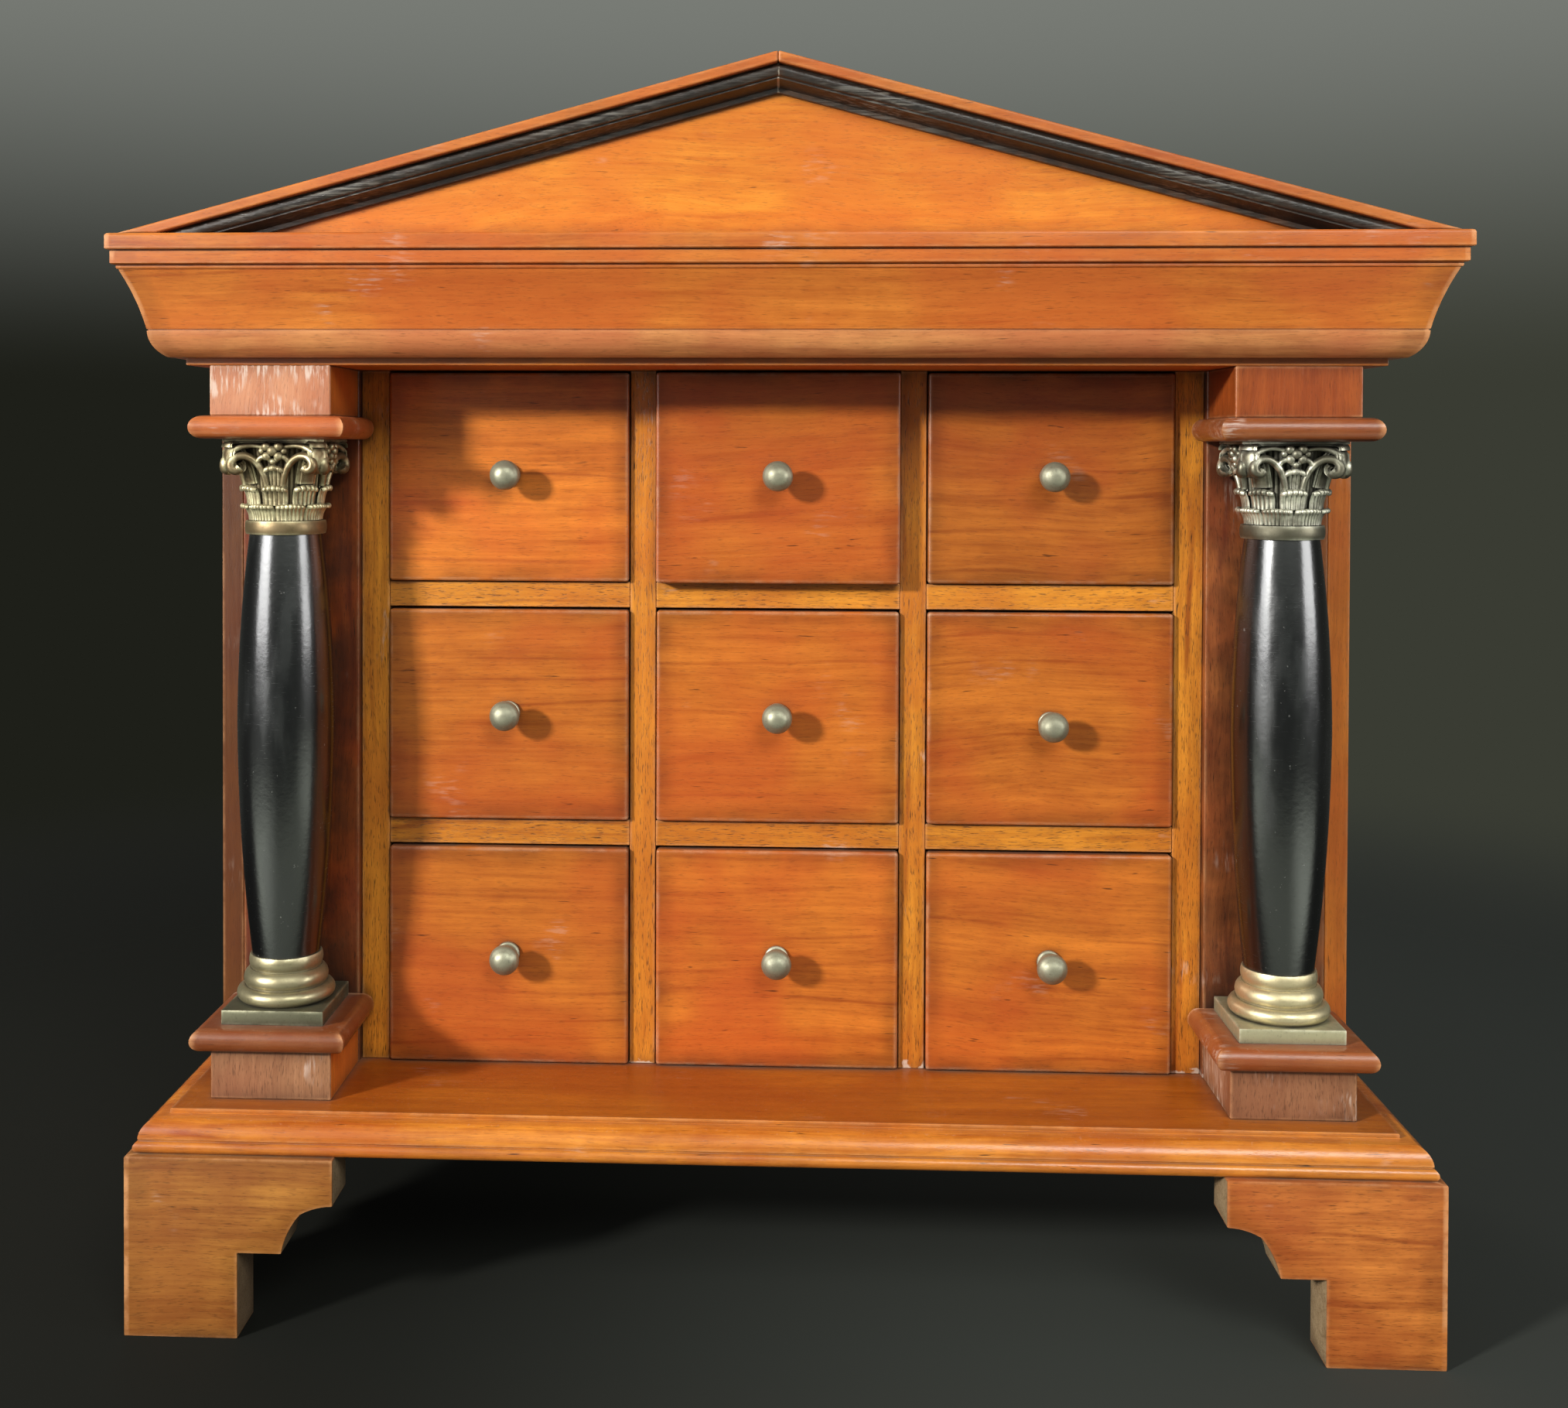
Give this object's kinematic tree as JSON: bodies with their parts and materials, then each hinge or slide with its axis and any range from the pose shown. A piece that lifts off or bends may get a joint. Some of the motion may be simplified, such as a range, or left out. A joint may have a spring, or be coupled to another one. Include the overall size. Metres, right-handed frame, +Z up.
{
  "type": "tabletop chest of drawers",
  "caption": "Small wooden chest of drawers shaped like a temple front, with pediment, cornice, two columns with brass bases and capitals, and bracket feet.",
  "frame": {"origin": "middle of the footprint, on the surface that the feet stand on", "axes": "+Z up, +X to the right as seen from the front, -Y towards the front with the drawers"},
  "size_m": [0.537, 0.245, 0.5138],
  "materials": {
    "mahogany": "semi-gloss",
    "mahogany_front": "semi-gloss",
    "tympanum_wood": "semi-gloss",
    "pilaster_wood": "semi-gloss",
    "ochre_wood": "satin",
    "block_wood": "satin",
    "foot_wood": "satin",
    "drawer_lining": "matt",
    "back_wood": "matt",
    "ebonised_wood": "satin",
    "black_shaft": "gloss",
    "antique_brass": "satin",
    "knob_brass": "satin"
  },
  "bodies": {
    "case": {"back_gable": "back_wood", "back_panel": "back_wood", "base_board": "mahogany", "capital_left": "antique_brass", "capital_right": "antique_brass", "case_side_left": "mahogany", "case_side_right": "mahogany", "column_base_left": "antique_brass", "column_base_right": "antique_brass", "column_shaft_left": "black_shaft", "column_shaft_right": "black_shaft", "cornice_front": "mahogany", "cornice_left": "mahogany", "cornice_right": "mahogany", "dividers": "ochre_wood", "end_partitions": "ochre_wood", "foot_back_left": "foot_wood", "foot_back_right": "foot_wood", "foot_front_left": "foot_wood", "foot_front_right": "foot_wood", "impost_left": "block_wood", "impost_right": "block_wood", "pedestal_left": "block_wood", "pedestal_right": "block_wood", "pilaster_left": "pilaster_wood", "pilaster_right": "pilaster_wood", "raking_moulding_left": "ebonised_wood", "raking_moulding_right": "ebonised_wood", "roof_left": "mahogany", "roof_right": "mahogany", "shelves": "ochre_wood", "top_board": "mahogany", "tympanum": "tympanum_wood"},
    "drawer_bottom_left": {"drawer_bottom_left_front": "mahogany_front", "drawer_bottom_left_box": "drawer_lining", "drawer_bottom_left_knob": "knob_brass"},
    "drawer_bottom_centre": {"drawer_bottom_centre_front": "mahogany_front", "drawer_bottom_centre_box": "drawer_lining", "drawer_bottom_centre_knob": "knob_brass"},
    "drawer_bottom_right": {"drawer_bottom_right_front": "mahogany_front", "drawer_bottom_right_box": "drawer_lining", "drawer_bottom_right_knob": "knob_brass"},
    "drawer_middle_left": {"drawer_middle_left_front": "mahogany_front", "drawer_middle_left_box": "drawer_lining", "drawer_middle_left_knob": "knob_brass"},
    "drawer_middle_centre": {"drawer_middle_centre_front": "mahogany_front", "drawer_middle_centre_box": "drawer_lining", "drawer_middle_centre_knob": "knob_brass"},
    "drawer_middle_right": {"drawer_middle_right_front": "mahogany_front", "drawer_middle_right_box": "drawer_lining", "drawer_middle_right_knob": "knob_brass"},
    "drawer_top_left": {"drawer_top_left_front": "mahogany_front", "drawer_top_left_box": "drawer_lining", "drawer_top_left_knob": "knob_brass"},
    "drawer_top_centre": {"drawer_top_centre_front": "mahogany_front", "drawer_top_centre_box": "drawer_lining", "drawer_top_centre_knob": "knob_brass"},
    "drawer_top_right": {"drawer_top_right_front": "mahogany_front", "drawer_top_right_box": "drawer_lining", "drawer_top_right_knob": "knob_brass"}
  },
  "joints": [
    {"name": "drawer_bottom_left_slide", "type": "slide", "parent": "case", "child": "drawer_bottom_left", "axis": [0, -1, 0], "range_m": [0, 0.135]},
    {"name": "drawer_bottom_centre_slide", "type": "slide", "parent": "case", "child": "drawer_bottom_centre", "axis": [0, -1, 0], "range_m": [0, 0.135]},
    {"name": "drawer_bottom_right_slide", "type": "slide", "parent": "case", "child": "drawer_bottom_right", "axis": [0, -1, 0], "range_m": [0, 0.135]},
    {"name": "drawer_middle_left_slide", "type": "slide", "parent": "case", "child": "drawer_middle_left", "axis": [0, -1, 0], "range_m": [0, 0.135]},
    {"name": "drawer_middle_centre_slide", "type": "slide", "parent": "case", "child": "drawer_middle_centre", "axis": [0, -1, 0], "range_m": [0, 0.135]},
    {"name": "drawer_middle_right_slide", "type": "slide", "parent": "case", "child": "drawer_middle_right", "axis": [0, -1, 0], "range_m": [0, 0.135]},
    {"name": "drawer_top_left_slide", "type": "slide", "parent": "case", "child": "drawer_top_left", "axis": [0, -1, 0], "range_m": [0, 0.135]},
    {"name": "drawer_top_centre_slide", "type": "slide", "parent": "case", "child": "drawer_top_centre", "axis": [0, -1, 0], "range_m": [-0.006, 0.129]},
    {"name": "drawer_top_right_slide", "type": "slide", "parent": "case", "child": "drawer_top_right", "axis": [0, -1, 0], "range_m": [0, 0.135]}
  ]
}
